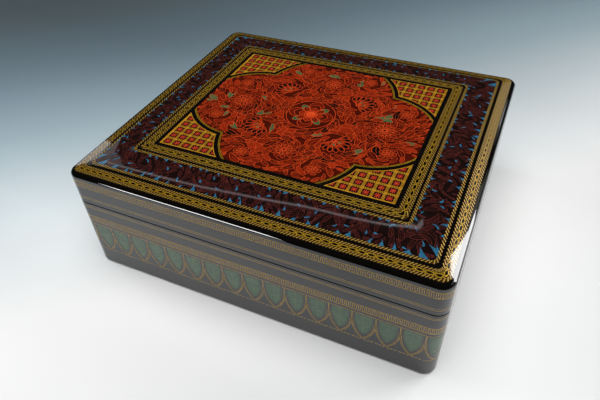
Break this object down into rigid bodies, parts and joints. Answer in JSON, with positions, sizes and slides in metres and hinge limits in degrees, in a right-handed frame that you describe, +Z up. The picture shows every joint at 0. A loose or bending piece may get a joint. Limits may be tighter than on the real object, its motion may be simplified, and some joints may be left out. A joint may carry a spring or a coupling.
{
  "type": "lidded lacquer box",
  "caption": "Low rectangular lacquered wooden box with a softly crowned lid that sits flush over an inner lip, with inlaid borders and panels.",
  "frame": {"origin": "middle of the foot, on the surface that the box stands on", "axes": "+X to the right along the long front, +Y to the back, +Z up"},
  "size_m": [0.27, 0.24, 0.0952],
  "materials": {
    "black_lacquer": "polished built-up black lacquer with coloured filled ornament",
    "inner_lacquer": "plain black lacquer, less polished than the outside",
    "board_wood": "planed softwood boards",
    "key_wood": "planed hardwood keys"
  },
  "bodies": {
    "box_body": {"body_coat": "black_lacquer", "body_lining": "inner_lacquer", "body_front_wall": "board_wood", "body_back_wall": "board_wood", "body_left_wall": "board_wood", "body_right_wall": "board_wood", "front_liner": "board_wood", "back_liner": "board_wood", "left_liner": "board_wood", "right_liner": "board_wood", "base_board": "board_wood", "body_key_front_left_1": "key_wood", "body_key_front_right_1": "key_wood", "body_key_back_right_1": "key_wood", "body_key_back_left_1": "key_wood", "body_key_front_left_2": "key_wood", "body_key_front_right_2": "key_wood", "body_key_back_right_2": "key_wood", "body_key_back_left_2": "key_wood"},
    "lid": {"lid_coat": "black_lacquer", "lid_lining": "inner_lacquer", "lid_front_wall": "board_wood", "lid_back_wall": "board_wood", "lid_left_wall": "board_wood", "lid_right_wall": "board_wood", "top_board": "board_wood", "lid_key_front_left": "key_wood", "lid_key_front_right": "key_wood", "lid_key_back_right": "key_wood", "lid_key_back_left": "key_wood"}
  },
  "joints": [
    {"name": "lid_lift", "type": "slide", "parent": "box_body", "child": "lid", "axis": [0, 0, 1], "range_m": [0, 0.06]}
  ]
}
